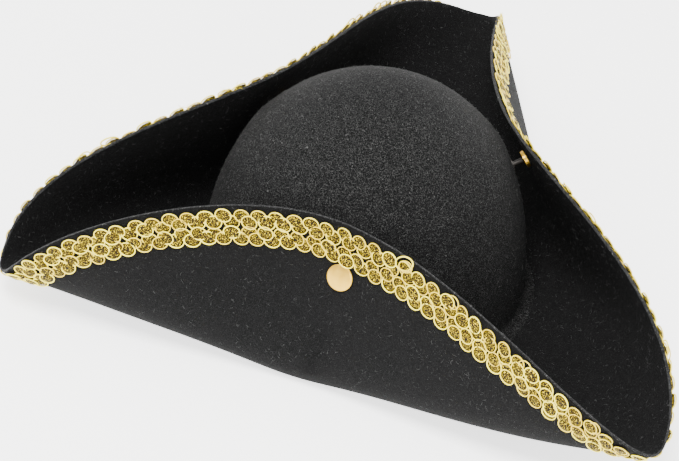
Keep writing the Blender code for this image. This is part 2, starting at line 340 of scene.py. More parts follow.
def finish_felt(mesh, shell_faces, loop, base_wall=True):
    """Smooth shading on the felt, and sharp borders round the hidden walls."""
    bm = bmesh.new()
    bm.from_mesh(mesh)
    bmesh.ops.recalc_face_normals(bm, faces=bm.faces)
    bm.faces.ensure_lookup_table()
    hidden = set(range(shell_faces, len(bm.faces)))
    if base_wall:
        hidden |= set(range(loop - 1, shell_faces, loop))
    for face in bm.faces:
        face.smooth = face.index not in hidden
    for line in bm.edges:
        if any(face.index in hidden for face in line.link_faces):
            line.smooth = False
    bm.to_mesh(mesh)
    bm.free()


def add_object(mesh, material=None):
    """Links a mesh as an object at the origin."""
    piece = bpy.data.objects.new(mesh.name, mesh)
    bpy.context.collection.objects.link(piece)
    if material is not None:
        mesh.materials.append(material)
    return piece


# %% [markdown]
# Each flap's felt is cut with a knife and left raw, so its edge wavers a little and is rounded by wear. The
# near flap also has a soft upright dent where its stud pulls. Both are moves of the grid's points, not
# paint, so they catch the light.

# %% Cut the flap pieces
FLAP_COLUMNS = 181
FLAP_ROWS = 46
CUT_STEPS = 5
# The pull of the left stud leaves a soft upright dent below it: place along, width, depth and the rows it spans.
DENT_ALONG, DENT_WIDTH, DENT_DEPTH, DENT_LOW, DENT_HIGH = 0.120, 0.062, 0.0032, 0.26, 0.72
rng = np.random.default_rng(7)


def felt_piece(flap):
    """Closed felt from the crown to the raw edge, between two corner lines."""
    share = np.linspace(-1.0, 1.0, FLAP_COLUMNS)
    along = np.sin(share * math.pi / 2) * 0.55 + share * 0.45
    rows = np.linspace(0.0, 1.0, FLAP_ROWS)
    points, outward, _, up_felt = felt_frame(flap, along[:, None], rows[None, :])
    if flap == "left":
        rise, fall = np.clip((rows - DENT_LOW) / 0.2, 0, 1), np.clip((DENT_HIGH - rows) / 0.14, 0, 1)
        beside = np.exp(-((along - DENT_ALONG) / DENT_WIDTH) ** 2)
        points = points - outward * (DENT_DEPTH * beside[:, None] * (rise * fall)[None, :])[..., None]
    half = FELT / 2
    ragged = 1 + rng.normal(0.0, 0.05, (FLAP_COLUMNS, 1, 1))
    turns = np.linspace(0.0, math.pi, CUT_STEPS + 2)[1:-1][None, :, None]
    cut = (points[:, -1:] + half * np.cos(turns) * outward[:, -1:]
           + half * ragged * np.sin(turns) * up_felt[:, -1:])
    grid = np.concatenate([points + outward * half, cut, (points - outward * half)[:, ::-1]], axis=1)
    mesh, shell = loop_mesh(flap + "_felt", grid)
    finish_felt(mesh, shell, grid.shape[1])
    return add_object(mesh)


flap_felt = {flap: felt_piece(flap) for flap in FLAPS}
print({flap: len(piece.data.polygons) for flap, piece in flap_felt.items()})

# %% [markdown]
# The crown is blocked, so it has no seam. Its side flows out into the brim in a small quarter-round where
# the felt was steamed over the edge of the block. A faint ring two thirds of the way up marks where the
# block's tip meets its side. The outer wall is laid first, then the inner one is set 2 mm in.

# %% Block the crown
CROWN_COLUMNS = 192
BREAK_HEIGHT = 0.008
SHOULDER_HEIGHT, SHOULDER_WIDTH, SHOULDER_SWELL = 0.093, 0.0070, 0.0012


def crown_line(turns, levels, inset):
    """Points of the crown's wall; inset 0 is the outside, FELT the inside."""
    turns, levels = np.meshgrid(turns, levels, indexing="ij")
    top = CROWN_HEIGHT - inset
    height = levels * top
    swell = SHOULDER_SWELL * np.exp(-((height - SHOULDER_HEIGHT) / SHOULDER_WIDTH) ** 2)
    reach = oval(turns, inset) * crown_share(levels) + swell
    return direction(turns) * reach[..., None] + UP * height[..., None]


def crown_piece():
    """The crown's felt: outer wall, quarter-round, and back up inside."""
    turns = np.linspace(0.0, math.tau, CROWN_COLUMNS, endpoint=False)
    levels = np.sin(np.linspace(0.02, 1.0, 60) * math.pi / 2)[::-1]
    start_level = BREAK_HEIGHT / CROWN_HEIGHT
    levels = levels[levels > start_level]
    levels[0] = 1 - 1e-7
    bend = np.linspace(math.pi / 2, 0.0, 12)
    end_reach = oval(turns) + BRIM_START
    rounds = []
    for side, inset in ((1, 0.0), (-1, FELT)):
        width = end_reach - oval(turns, inset) * crown_share(np.array([start_level]))
        floor_height = BRIM_HEIGHT + side * FELT / 2
        reach = end_reach[:, None] - width[:, None] * np.sin(bend)
        height = floor_height + (BREAK_HEIGHT - floor_height) * (1 - np.cos(bend))
        rounds.append(direction(turns)[:, None, :] * reach[..., None] + UP * height[None, :, None])
    walls = crown_line(turns, levels, 0.0), crown_line(turns, levels, FELT)
    grid = np.concatenate([walls[0], rounds[0], rounds[1][:, ::-1], walls[1][:, ::-1]], axis=1)
    mesh, _ = loop_mesh("crown_felt", grid, closed=True, base_wall=False)
    bm = bmesh.new()
    bm.from_mesh(mesh)
    bmesh.ops.remove_doubles(bm, verts=bm.verts, dist=1e-6)
    # What is still open is the small ring round each pole.
    bmesh.ops.holes_fill(bm, edges=[edge for edge in bm.edges if edge.is_boundary], sides=CROWN_COLUMNS + 1)
    return write_mesh(bm, mesh)


crown_mesh = crown_piece()
crown = add_object(crown_mesh)
print("crown faces", len(crown_mesh.polygons))

# %% [markdown]
# ## Needled felt
#
# This felt is polyester and wool fibre, needled into a mat and dyed black. The eye reads it from three
# things: a fine grain of fibre ends, pale stray fibres that catch the light, and a soft sheen at grazing
# angles, kept very low because black dye swallows most of it. The grain is a noise finer than a millimetre,
# the strays are a noise drawn out long and thin, and the sheen is the shader's own. The cut edge is paler,
# partly where the knife opened the mat and partly as a painted highlight for the light its upturned face
# catches.

# %% Needled felt


def needled_felt(name, dark, grain, stray, sheen, sharp=(0.46, 0.68)):
    """Black needled felt: matt and grainy, with pale strays and a grazing sheen."""
    material, tree, shader = new_material(
        name, Roughness=0.92, IOR=1.5, Specular_IOR_Level=0.15, Sheen_Weight=sheen, Sheen_Roughness=0.42,
        Sheen_Tint=linear("#DADADA"))
    place = add_node(tree, "ShaderNodeTexCoord").outputs["Object"]
    # Grain of fibre ends, about 0.7 mm across.
    fine = add_node(tree, "ShaderNodeTexNoise", {"Vector": place},
                    {"Scale": 1400.0, "Detail": 3.0, "Roughness": 0.65})
    # Cloudy patches 12 mm across, where the mat is thicker.
    cloud = add_node(tree, "ShaderNodeTexNoise", {"Vector": place}, {"Scale": 80.0, "Detail": 3.0})
    warp = add_node(tree, "ShaderNodeTexNoise", {"Vector": place}, {"Scale": 170.0, "Detail": 1.0})
    bent = add_node(tree, "ShaderNodeVectorMath", {0: warp.outputs["Color"]}, {1: (0.02, 0.02, 0.02)},
                    operation="MULTIPLY")
    moved = add_node(tree, "ShaderNodeVectorMath", {0: place, 1: bent}, operation="ADD")
    layers = []
    for tilt in ((0.3, 0.5, 0.9), (1.2, 0.2, 2.3)):
        # Strays are 0.4 mm wide and 6 mm long, as coarse as they need to be to show.
        stretch = add_node(tree, "ShaderNodeMapping", {"Vector": moved},
                           {"Rotation": tilt, "Scale": (160.0, 2300.0, 2300.0)})
        layers.append(add_node(tree, "ShaderNodeTexNoise", {"Vector": stretch}, {"Scale": 1.0, "Detail": 1.0}))
    strays = add_node(tree, "ShaderNodeMath", {0: layers[0], 1: layers[1]}, operation="MAXIMUM")
    stray_share = add_node(tree, "ShaderNodeMapRange", {"Value": strays},
                           {"From Min": 0.66, "From Max": 0.78, "To Max": 0.8})
    ends = add_node(tree, "ShaderNodeMapRange", {"Value": fine}, {"From Min": sharp[0], "From Max": sharp[1]})
    body = add_node(tree, "ShaderNodeMix", {"Factor": ends}, {6: linear(dark), 7: linear(grain)}, data_type="RGBA")
    shade = add_node(tree, "ShaderNodeMapRange", {"Value": cloud}, {"To Min": 0.88, "To Max": 1.12})
    tinted = add_node(tree, "ShaderNodeVectorMath", {0: body.outputs[2], "Scale": shade}, operation="SCALE")
    top = add_node(tree, "ShaderNodeMix", {"Factor": stray_share, 6: tinted}, {7: linear(stray)}, data_type="RGBA")
    tree.links.new(top.outputs[2], shader.inputs["Base Color"])
    relief = add_node(tree, "ShaderNodeMath", {0: fine, 1: stray_share}, operation="ADD")
    rough = add_node(tree, "ShaderNodeBump", {"Height": relief}, {"Strength": 0.9, "Distance": 0.0008})
    soft = add_node(tree, "ShaderNodeBump", {"Height": cloud, "Normal": rough}, {"Strength": 0.5, "Distance": 0.002})
    tree.links.new(soft.outputs[0], shader.inputs["Normal"])
    return material


black_felt = needled_felt("needled_black_felt", "#010101", "#121212", "#4A4A49", 0.01)
# The crown takes the same felt with a paler grain and paler strays than the flaps.
crown_paler_felt = needled_felt("raised_black_nap", "#010101", "#363635", "#747472", 0.01, (0.52, 0.64))
# The cut edge's felt is paler: partly the opened mat, partly a painted highlight for light on its upturned face.
raw_edge_felt_and_highlight = needled_felt("cut_felt_edge", "#0C0C0C", "#3A3A3A", "#A0A09E", 0.10)
crown.data.materials.append(crown_paler_felt)
for piece in flap_felt.values():
    piece.data.materials.append(black_felt)
    piece.data.materials.append(raw_edge_felt_and_highlight)
    # The faces round the cut edge take the paler felt, with its painted highlight.
    loop = 2 * FLAP_ROWS + CUT_STEPS
    for face in piece.data.polygons:
        place = face.index % loop
        if face.index < loop * (FLAP_COLUMNS - 1) and FLAP_ROWS <= place <= FLAP_ROWS + CUT_STEPS - 2:
            face.material_index = 1

# %% [markdown]
# A felt flap bends where it was pressed up, over a soft roll rather than at a line, and that shape is laid
# into each piece. Here the crown is attached to the hood and the frame's own crown, brim and flap parts are
# hidden. Each flap piece is baked where it lies and is not attached to a body.

# %% Place the felt on the frame
BODY_OF_FLAP = {"left": "left_side", "right": "right_side", "back": "back_side"}


def fold_with(piece):
    """Bakes the piece's placement into its mesh; it is not attached to a body."""
    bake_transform(piece)


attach(crown, "hood")
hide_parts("crown")
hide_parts("brim")
for flap, piece in flap_felt.items():
    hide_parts(flap + "_flap")
    fold_with(piece)

# %% [markdown]
# ## Gold braid
#
# The braid is a gimp: a core of gold mesh is looped from side to side, and a pale gold cord edges each
# loop. Two such bands lie side by side, so four rows of loops follow the raw edge. One loop is modelled
# once, as a corded rim and a low domed centre, and Geometry Nodes lay a copy at each place, turned to the
# felt, with a small seeded wobble because no machine lays them all alike.

# %% One loop of gimp
LOOP_PITCH = 0.0103
LOOP_WIDTH = 0.0097
LOOP_HEIGHT = 0.0078
CORD = 0.00042
RIM_STEPS = 20


def cord_path(bm, path, outs, closed, thick=CORD):
    """Skins a four-sided cord along a path."""
    rings = []
    for centre, out in zip(path, outs):
        ring = []
        for corner in range(4):
            around = math.pi / 2 * corner + math.pi / 4
            reach = out * math.cos(around) + Vector((0, 0, 1)) * math.sin(around)
            ring.append(bm.verts.new(centre + reach * thick))
        rings.append(ring)
    for step in range(len(rings) if closed else len(rings) - 1):
        ring, following = rings[step], rings[(step + 1) % len(rings)]
        for corner in range(4):
            after = (corner + 1) % 4
            bm.faces.new((ring[corner], following[corner], following[after], ring[after]))
    if not closed:
        bm.faces.new(rings[0])
        bm.faces.new(rings[-1][::-1])


def skin_rings(bm, rings):
    """Joins each ring of points to the next with faces."""
    for low, high in zip(rings, rings[1:]):
        for side, corner in enumerate(low):
            after = (side + 1) % len(low)
            bm.faces.new((corner, low[after], high[after], high[side]))


def on_loop(angle, share, height):
    """A point over a loop's oval, drawn in towards its middle by share."""
    return Vector((math.cos(angle) * (LOOP_WIDTH / 2 - CORD) * share,
                   math.sin(angle) * (LOOP_HEIGHT / 2 - CORD) * share, height))


def rim_mesh():
    """The corded rim. It dives under its neighbour on its lower side."""
    bm = bmesh.new()
    path, outs = [], []
    for step in range(RIM_STEPS):
        angle = math.tau * step / RIM_STEPS
        path.append(on_loop(angle, 1.0, CORD * (1.6 + 0.7 * math.sin(angle + 0.4))))
        outs.append(Vector((math.cos(angle) / LOOP_WIDTH, math.sin(angle) / LOOP_HEIGHT, 0.0)).normalized())
    cord_path(bm, path, outs, True)
    return write_mesh(bm, bpy.data.meshes.new("gimp_rim"))


def centre_mesh():
    """The mesh centre: a low dome with a flat underside, and a map of its own face for the thread pattern."""
    bm = bmesh.new()
    layer = bm.loops.layers.uv.new("thread_map")
    sides = 12
    rings = []
    for share, height in ((1.0, 0.0002), (0.62, 0.00095), (0.22, 0.00125)):
        rings.append([bm.verts.new(on_loop(math.tau * step / sides, share, height)) for step in range(sides)])
    skin_rings(bm, rings)
    bm.faces.new(rings[-1])
    bm.faces.new(rings[0][::-1])
    path, outs = [], []
    for step in range(15):
        # The coil winds inwards for one and a quarter turns, and rises to the middle of the loop.
        share = step / 14
        angle = math.pi * 0.9 + math.tau * 1.25 * share
        size = 0.66 - 0.44 * share
        path.append(on_loop(angle, size, CORD * (2.1 + 0.8 * share)))
        outs.append(Vector((math.cos(angle), math.sin(angle), 0.0)))
    cord_path(bm, path, outs, False, CORD * 0.8)
    for face in bm.faces:
        for loop in face.loops:
            loop[layer].uv = (loop.vert.co.x / LOOP_WIDTH, loop.vert.co.y / LOOP_HEIGHT)
    return write_mesh(bm, bpy.data.meshes.new("gimp_centre"), outward=False)


rim_shape = bpy.data.objects.new("gimp_rim", rim_mesh())
centre_shape = bpy.data.objects.new("gimp_centre", centre_mesh())
print("faces in one loop", len(rim_shape.data.polygons) + len(centre_shape.data.polygons))

# %% [markdown]
# Metallised thread is a thin gold-coloured foil wound round a core. The rim cord is pale because its foil
# lies smooth and faces every way; the centre is darker, since its open mesh lets the shadow in between the
# threads. So the rim gets a light gold with a fine winding and a faint painted glow, and the centre a deep
# gold crossed by two sets of fine threads, with painted shade between them.

# %% Metallised thread


def gold_cord():
    """Pale gold cord: foil wound round a core, broken into fine bright flecks, with a faint painted glow."""
    # A faint glow, painted light, stands for the sparkle of foil facets that are too small to model.
    material, tree, shader = new_material("pale_gold_cord", Metallic=0.2, Roughness=0.4, Emission_Strength=0.4,
                                          Emission_Color=linear("#FFE04A"))
    place = add_node(tree, "ShaderNodeTexCoord").outputs["Object"]
    # Flecks of the winding, 0.45 mm across.
    wind = add_node(tree, "ShaderNodeTexNoise", {"Vector": place}, {"Scale": 2200.0, "Detail": 1.0})
    tone = add_node(tree, "ShaderNodeAttribute", attribute_name="tone")
    mixed = add_node(tree, "ShaderNodeMath", {0: wind, 1: tone.outputs["Fac"]}, operation="ADD")
    share = add_node(tree, "ShaderNodeMapRange", {"Value": mixed}, {"From Min": 0.55, "From Max": 1.35})
    colour = add_node(tree, "ShaderNodeMix", {"Factor": share}, {6: linear("#D4B42A"), 7: linear("#FFF048")},
                      data_type="RGBA")
    tree.links.new(colour.outputs[2], shader.inputs["Base Color"])
    bump = add_node(tree, "ShaderNodeBump", {"Height": wind}, {"Strength": 0.5, "Distance": 0.0003})
    tree.links.new(bump.outputs[0], shader.inputs["Normal"])
    return material


def gold_mesh():
    """Deep gold mesh: two crossing sets of foil threads, with painted shade between them and in dark specks."""
    material, tree, shader = new_material("deep_gold_mesh", Metallic=0.15, Roughness=0.5, Specular_IOR_Level=0.2)
    place = add_node(tree, "ShaderNodeUVMap", uv_map="thread_map")
    object_place = add_node(tree, "ShaderNodeTexCoord").outputs["Object"]
    jitter = add_node(tree, "ShaderNodeTexNoise", {"Vector": object_place}, {"Scale": 420.0, "Detail": 2.0})
    pushed = add_node(tree, "ShaderNodeVectorMath", {0: jitter.outputs["Color"]}, {"Scale": 0.5},
                      operation="SCALE")
    moved = add_node(tree, "ShaderNodeVectorMath", {0: place, 1: pushed}, operation="ADD")
    sets = []
    for turn_angle in (0.6, -0.75):
        spun = add_node(tree, "ShaderNodeMapping", {"Vector": moved}, {"Rotation": (0, 0, turn_angle)})
        # Six threads cross a 9 mm loop, about 1.5 mm apart.
        sets.append(add_node(tree, "ShaderNodeTexWave", {"Vector": spun},
                             {"Scale": 2.1, "Distortion": 1.6, "Detail": 1.0}, wave_type="BANDS"))
    threads = add_node(tree, "ShaderNodeMath", {number: wave.outputs["Fac"] for number, wave in enumerate(sets)},
                       operation="MAXIMUM")
    specks = add_node(tree, "ShaderNodeTexNoise", {"Vector": object_place}, {"Scale": 1500.0, "Detail": 2.0})
    both = add_node(tree, "ShaderNodeMath", {0: threads, 1: specks}, operation="MULTIPLY")
    # The ramp's near-black stop is painted shade, for the shadow between the threads and in the specks.
    ramp = add_node(tree, "ShaderNodeValToRGB", {"Fac": both})
    stops = ramp.color_ramp.elements
    stops.new(0.5)
    for stop, (position, code) in zip(stops, ((0.38, "#080400"), (0.48, "#6C5200"), (0.62, "#FFE312"))):
        stop.position = position
        stop.color = linear(code)
    tree.links.new(ramp.outputs[0], shader.inputs["Base Color"])
    bump = add_node(tree, "ShaderNodeBump", {"Height": both}, {"Strength": 1.0, "Distance": 0.0007})
    tree.links.new(bump.outputs[0], shader.inputs["Normal"])
    return material


cord_with_painted_glow, mesh_with_painted_shade = gold_cord(), gold_mesh()

# %% [markdown]
# The tree takes loose points, each with the direction along the band, away from the felt, and its size, and
# turns a copy of a shape to each. The seed is fixed, so the wobble is the same every time, and a rim and
# its centre, laid with the same seed, wobble together. Realised copies are left as one plain mesh for each
# flap and part.

# %% Lay shapes on points with Geometry Nodes


def new_tree(name, sockets, result):
    """A Geometry Nodes tree with named inputs, and its input sockets."""
    tree = bpy.data.node_groups.new(name, "GeometryNodeTree")
    for label, kind, value in sockets:
        socket = tree.interface.new_socket(label, in_out="INPUT", socket_type="NodeSocket" + kind)
        if value is not None:
            socket.default_value = value
    tree.interface.new_socket(result, in_out="OUTPUT", socket_type="NodeSocketGeometry")
    return tree, add_node(tree, "NodeGroupInput").outputs


def copies_to_output(tree, inputs, points, rotation, size):
    """Lays the shape on the points, makes the copies real, gives them their finish and ends the tree."""
    info = add_node(tree, "GeometryNodeObjectInfo", {"Object": inputs["Shape"]})
    copies = add_node(tree, "GeometryNodeInstanceOnPoints",
                      {"Points": points, "Instance": info.outputs["Geometry"], "Rotation": rotation, "Scale": size})
    real = add_node(tree, "GeometryNodeRealizeInstances", {"Geometry": copies})
    done = add_node(tree, "GeometryNodeSetMaterial", {"Geometry": real, "Material": inputs["Finish"]})
    add_node(tree, "NodeGroupOutput", {0: done})


def laying_tree():
    """A tree that lays one shape on points that say which way they face."""
    tree, inputs = new_tree("lay_on_points", [
        ("Points", "Geometry", None), ("Shape", "Object", None), ("Finish", "Material", None),
        ("Wobble", "Float", 0.12), ("Size wobble", "Float", 0.07), ("Seed", "Int", 3)], "Laid")
    along, outward, own = (
        add_node(tree, "GeometryNodeInputNamedAttribute", None, {"Name": label}, data_type=kind)
        for label, kind in (("along", "FLOAT_VECTOR"), ("outward", "FLOAT_VECTOR"), ("size", "FLOAT")))
    facing = add_node(tree, "FunctionNodeAxesToRotation", {0: outward, 1: along},
                      primary_axis="Z", secondary_axis="X")
    low = add_node(tree, "ShaderNodeMath", {0: inputs["Wobble"]}, {1: -1.0}, operation="MULTIPLY")
    wobble = add_node(tree, "FunctionNodeRandomValue", {0: low, 1: inputs["Wobble"], "Seed": inputs["Seed"]},
                      data_type="FLOAT_VECTOR")
    turned = add_node(tree, "FunctionNodeRotateRotation", {0: facing, 1: wobble}, rotation_space="LOCAL")
    least = add_node(tree, "ShaderNodeMath", {1: inputs["Size wobble"]}, {0: 1.0}, operation="SUBTRACT")
    most = add_node(tree, "ShaderNodeMath", {1: inputs["Size wobble"]}, {0: 1.0}, operation="ADD")
    change = add_node(tree, "FunctionNodeRandomValue", {2: least, 3: most, "Seed": inputs["Seed"]}, data_type="FLOAT")
    size = add_node(tree, "ShaderNodeMath", {0: own, 1: change.outputs[1]}, operation="MULTIPLY")
    tone = add_node(tree, "FunctionNodeRandomValue", {"Seed": inputs["Seed"]}, {2: 0.0, 3: 0.9}, data_type="FLOAT")
    marked = add_node(tree, "GeometryNodeStoreNamedAttribute",
                      {"Geometry": inputs["Points"], "Value": tone.outputs[1]},
                      {"Name": "tone"}, data_type="FLOAT", domain="POINT")
    copies_to_output(tree, inputs, marked.outputs[0], turned.outputs[0], size.outputs[0])
    return tree


lay_on_points = laying_tree()


def run_tree(points, tree, name, values):
    """Runs a tree on a mesh of points and returns the result as a plain object at the origin."""
    holder = add_object(points)
    modifier = holder.modifiers.new("laying", "NODES")
    modifier.node_group = tree
    for socket in tree.interface.items_tree:
        if socket.item_type == "SOCKET" and socket.in_out == "INPUT" and socket.name in values:
            modifier[socket.identifier] = values[socket.name]
    holder.update_tag()
    bpy.context.view_layer.update()
    mesh = bpy.data.meshes.new_from_object(holder.evaluated_get(bpy.context.evaluated_depsgraph_get()))
    mesh.name = name
    bpy.data.objects.remove(holder)
    return add_object(mesh)


# %% [markdown]
# Each band has two rows of loops, set half a pitch apart. The upper row's loops lean towards the raw edge,
# the lower row's away from it. On the left flap the braid sits a little below the edge; on the other two it
# runs right at it, so its loops peep over. Where the braid passes the stud's cap, it rides up over it.

# %% Places of the loops
BAND_WIDTH = 0.0094
ROW_DEPTHS = (0.0038, 0.0073)
LINK_LEAN = 0.35
MARGIN = {"left": 0.0014, "back": -0.0020, "right": -0.0020}
STUDS = {"left": (0.090, 0.0288), "back": (0.0, 0.0288), "right": (-0.100, 0.0346)}
CAP_CLEARING, CAP_RISE = 0.0125, 0.0016
# How far hand laying strays: along the edge, down from it, and in the lean of a loop.
STRAY_ALONG, STRAY_DOWN, STRAY_LEAN = 0.00035, 0.0003, 0.12
OVERLAP_LIFT, LOOSE_LIFT = 0.0005, 0.0008
LOOSE_LOOPS = {"left": 5, "back": 16, "right": 16}


def rows_at_depth(flap, along, depth):
    """Rows that lie a given distance down the felt from the raw edge, for many places."""
    rows = np.linspace(0.3, 1.0, 141)
    points = felt_points(flap, along[:, None], rows[None, :])
    steps = np.linalg.norm(np.diff(points, axis=1), axis=2)
    from_edge = np.concatenate([np.zeros((len(along), 1)), np.cumsum(steps[:, ::-1], axis=1)], axis=1)
    return np.array([np.interp(deep, walked, rows[::-1]) for deep, walked in zip(depth, from_edge)])


def walk_edge(flap, distance):
    """Distance along the raw edge from the first corner, as a place from -1 to 1."""
    first, second = EDGE_LENGTH[flap]
    return np.where(distance < first, distance / first - 1, (distance - first) / second)


def point_mesh(name, places, alongs, outs, sizes):
    """Loose points that carry what the laying tree reads."""
    mesh = bpy.data.meshes.new(name)
    mesh.from_pydata(np.concatenate(places).tolist(), [], [])
    for label, values in (("along", alongs), ("outward", outs)):
        layer = mesh.attributes.new(label, "FLOAT_VECTOR", "POINT")
        layer.data.foreach_set("vector", np.concatenate(values).astype(np.float32).ravel())
    layer = mesh.attributes.new("size", "FLOAT", "POINT")
    layer.data.foreach_set("value", np.concatenate(sizes).astype(np.float32))
    return mesh


def braid_points(flap, loose):
    """Points for a flap's loops: the full loops, and after them the loose rims if asked for."""
    places, alongs, outs, sizes = [], [], [], []
    total = sum(EDGE_LENGTH[flap])
    count = round(total / LOOP_PITCH)
    seeded = np.random.default_rng({"left": 11, "back": 12, "right": 13}[flap])
    stud_along, stud_depth = (np.array([value]) for value in STUDS[flap])
    stud = felt_points(flap, stud_along, rows_at_depth(flap, stud_along, stud_depth))[0]

    def lay(distance, depth, lifted, lean, size):
        along = walk_edge(flap, np.clip(distance, 0, total))
        inset = MARGIN[flap] * (1 - np.abs(along) ** 4)
        rows = np.minimum(rows_at_depth(flap, along, inset + depth), 0.999)
        point, out, side, lift = felt_frame(flap, along, rows)
        near = np.exp(-(np.linalg.norm(point - stud, axis=1) / CAP_CLEARING) ** 6)
        places.append(point + out * (FELT / 2 + 0.0001 + lifted + CAP_RISE * near)[:, None])
        alongs.append(side * np.cos(lean)[:, None] - lift * np.sin(lean)[:, None])
        outs.append(out)
        sizes.append(size)

    for band in (0, 1):
        for row in (0, 1):
            offset = (0.42 if row else 0.0) + 0.3 * band
            distance = ((np.arange(count) + 0.25 + offset) / count * total) % total
            distance = distance + seeded.normal(0, STRAY_ALONG, count)
            depth = band * BAND_WIDTH + ROW_DEPTHS[row] + seeded.normal(0, STRAY_DOWN, count)
            lean = LINK_LEAN + (math.pi if row else 0.0) + seeded.normal(0, STRAY_LEAN, count)
            lay(distance, depth, OVERLAP_LIFT * ((np.arange(count) + row) % 2), lean, np.ones(count))
    if loose:
        count = LOOSE_LOOPS[flap]
        distance = seeded.uniform(0.06, 0.94, count) * total
        depth = seeded.choice([0.0016, 0.0016, 2 * BAND_WIDTH + 0.0004], count)
        depth = depth + seeded.normal(0, 0.0005, count)
        lay(distance, depth, np.full(count, LOOSE_LIFT), seeded.uniform(-1, 1, count),
            seeded.uniform(0.85, 1.15, count))
    return point_mesh(flap + "_loops", places, alongs, outs, sizes)


BRAID_NODES = {"left": ("left_braid_upper", "left_braid_lower", "left_braid"),
               "back": ("back_braid_upper", "back_braid_lower", "right_braid"),
               "right": ("right_braid_upper", "right_braid_lower", "front_braid")}
for flap in FLAPS:
    for part, shape, finish, loose in (("rims", rim_shape, cord_with_painted_glow, True),
                                       ("centres", centre_shape, mesh_with_painted_shade, False)):
        laid = run_tree(braid_points(flap, loose), lay_on_points, f"{flap}_braid_{part}",
                        {"Shape": shape, "Finish": finish, "Seed": 5})
        if part == "rims":
            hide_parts(*BRAID_NODES[flap])
        fold_with(laid)
        print(laid.name, len(laid.data.polygons), "faces")

# %% [markdown]
# Frayed ends stand up where the braid's end was laid over its start, on the right flap, and where a second
# length was joined, near the back flap's top. They are short threads, bent a little, set at random angles.

# %% Frayed ends
THREAD_LENGTH = 0.0062
FRAYS = {"right": [(0.16, 16), (0.30, 10)], "back": [(0.80, 9), (0.72, 6)]}


def thread_mesh(name, length, thick, arch, sides=3, segments=4):
    """A short arched thread along X, closed at both ends."""
    bm = bmesh.new()
    rings = []
    for step in range(segments + 1):
        share = step / segments
        thin = thick * (1 - 0.5 * share)
        ring = [bm.verts.new((length * share, thin * math.cos(math.tau * side / sides),
                              thin * math.sin(math.tau * side / sides) + arch * math.sin(math.pi * share)))
                for side in range(sides)]
        rings.append(ring)
    skin_rings(bm, rings)
    bm.faces.new(rings[0][::-1])
    bm.faces.new(rings[-1])
    return write_mesh(bm, bpy.data.meshes.new(name), smooth=False)


thread_shape = bpy.data.objects.new("thread_end", thread_mesh("thread_end", THREAD_LENGTH, 0.00018, 0.0012))
for flap, frays in FRAYS.items():
    seeded = np.random.default_rng(21)
    places, alongs, outs, sizes = [], [], [], []
    for centre, count in frays:
        along = centre + seeded.normal(0, 0.012, count)
        rows = rows_at_depth(flap, along, seeded.uniform(0.0, 0.004, count))
        point, out, side, lift = felt_frame(flap, along, rows)
        way = seeded.uniform(0.15 * math.pi, 0.85 * math.pi, count)[:, None]
        places.append(point + out * (FELT / 2 + 0.0008))
        alongs.append(side * np.cos(way) + lift * np.sin(way))
        outs.append(out)
        sizes.append(seeded.uniform(0.5, 1.15, count))
    ends = run_tree(point_mesh(flap + "_ends", places, alongs, outs, sizes), lay_on_points, flap + "_frayed_ends",
                    {"Shape": thread_shape, "Finish": cord_with_painted_glow, "Wobble": 0.5, "Seed": 8})
    fold_with(ends)

# %% [markdown]
# ## Stray fibres
#
# Needling never catches every fibre, so short pale ends lie all over the felt. They are too fine to see one
# by one, but together they give the black its speckle and soften its outline. A second tree scatters one
# bent fibre over each felt piece, turned any way and tilted up a little from the surface.

# %% Scatter stray fibres


def scatter_tree():
    """A tree that scatters a shape over a surface."""
    tree, inputs = new_tree("scatter_fibres", [
        ("Surface", "Geometry", None), ("Shape", "Object", None), ("Finish", "Material", None),
        ("Density", "Float", 50000.0), ("Seed", "Int", 4)], "Fibres")
    spots = add_node(tree, "GeometryNodeDistributePointsOnFaces",
                     {"Mesh": inputs["Surface"], "Density": inputs["Density"], "Seed": inputs["Seed"]})
    spin = add_node(tree, "FunctionNodeRandomValue", {"Seed": inputs["Seed"]},
                    {0: (-0.1, -0.5, 0.0), 1: (0.1, 0.05, math.tau)}, data_type="FLOAT_VECTOR")
    turned = add_node(tree, "FunctionNodeRotateRotation", {0: spots.outputs["Rotation"], 1: spin},
                      rotation_space="LOCAL")
    size = add_node(tree, "FunctionNodeRandomValue", {"Seed": inputs["Seed"]}, {2: 0.5, 3: 1.5}, data_type="FLOAT")
    copies_to_output(tree, inputs, spots.outputs["Points"], turned.outputs[0], size.outputs[1])
    return tree


fibre_finish, _, _ = new_material("pale_polyester_fibre", Base_Color=linear("#5A5A59"), Roughness=0.6)
fibre_shape = bpy.data.objects.new("stray_fibre", thread_mesh("stray_fibre", 0.0016, 0.00004, 0.00022))
scatter_fibres = scatter_tree()
for piece, flap, density in ((crown, None, 30000.0), (flap_felt["left"], "left", 26000.0),
                             (flap_felt["back"], "back", 26000.0), (flap_felt["right"], "right", 26000.0)):
    name = (flap or "crown") + "_fibres"
    fibres = run_tree(piece.data.copy(), scatter_fibres, name,
                      {"Shape": fibre_shape, "Finish": fibre_finish, "Density": density})
    if flap:
        fold_with(fibres)
    else:
        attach(fibres, "hood")
    print(fibres.name, len(fibres.data.polygons), "faces")

# %% [markdown]
# ## Press studs
#
# Each stud has four parts, all pressed from thin brass: a smooth cap outside the flap, a socket inside it, a
# ball stud outside the crown and a flat post inside. The cap, socket and post are plated pale gold and the ball
# stud is near-black. The cap is turned, so one profile spun about its axis gives it; the other three are the
# frame's own parts, given new finishes. The frame's own nodes give the places.

# %% Plated metal


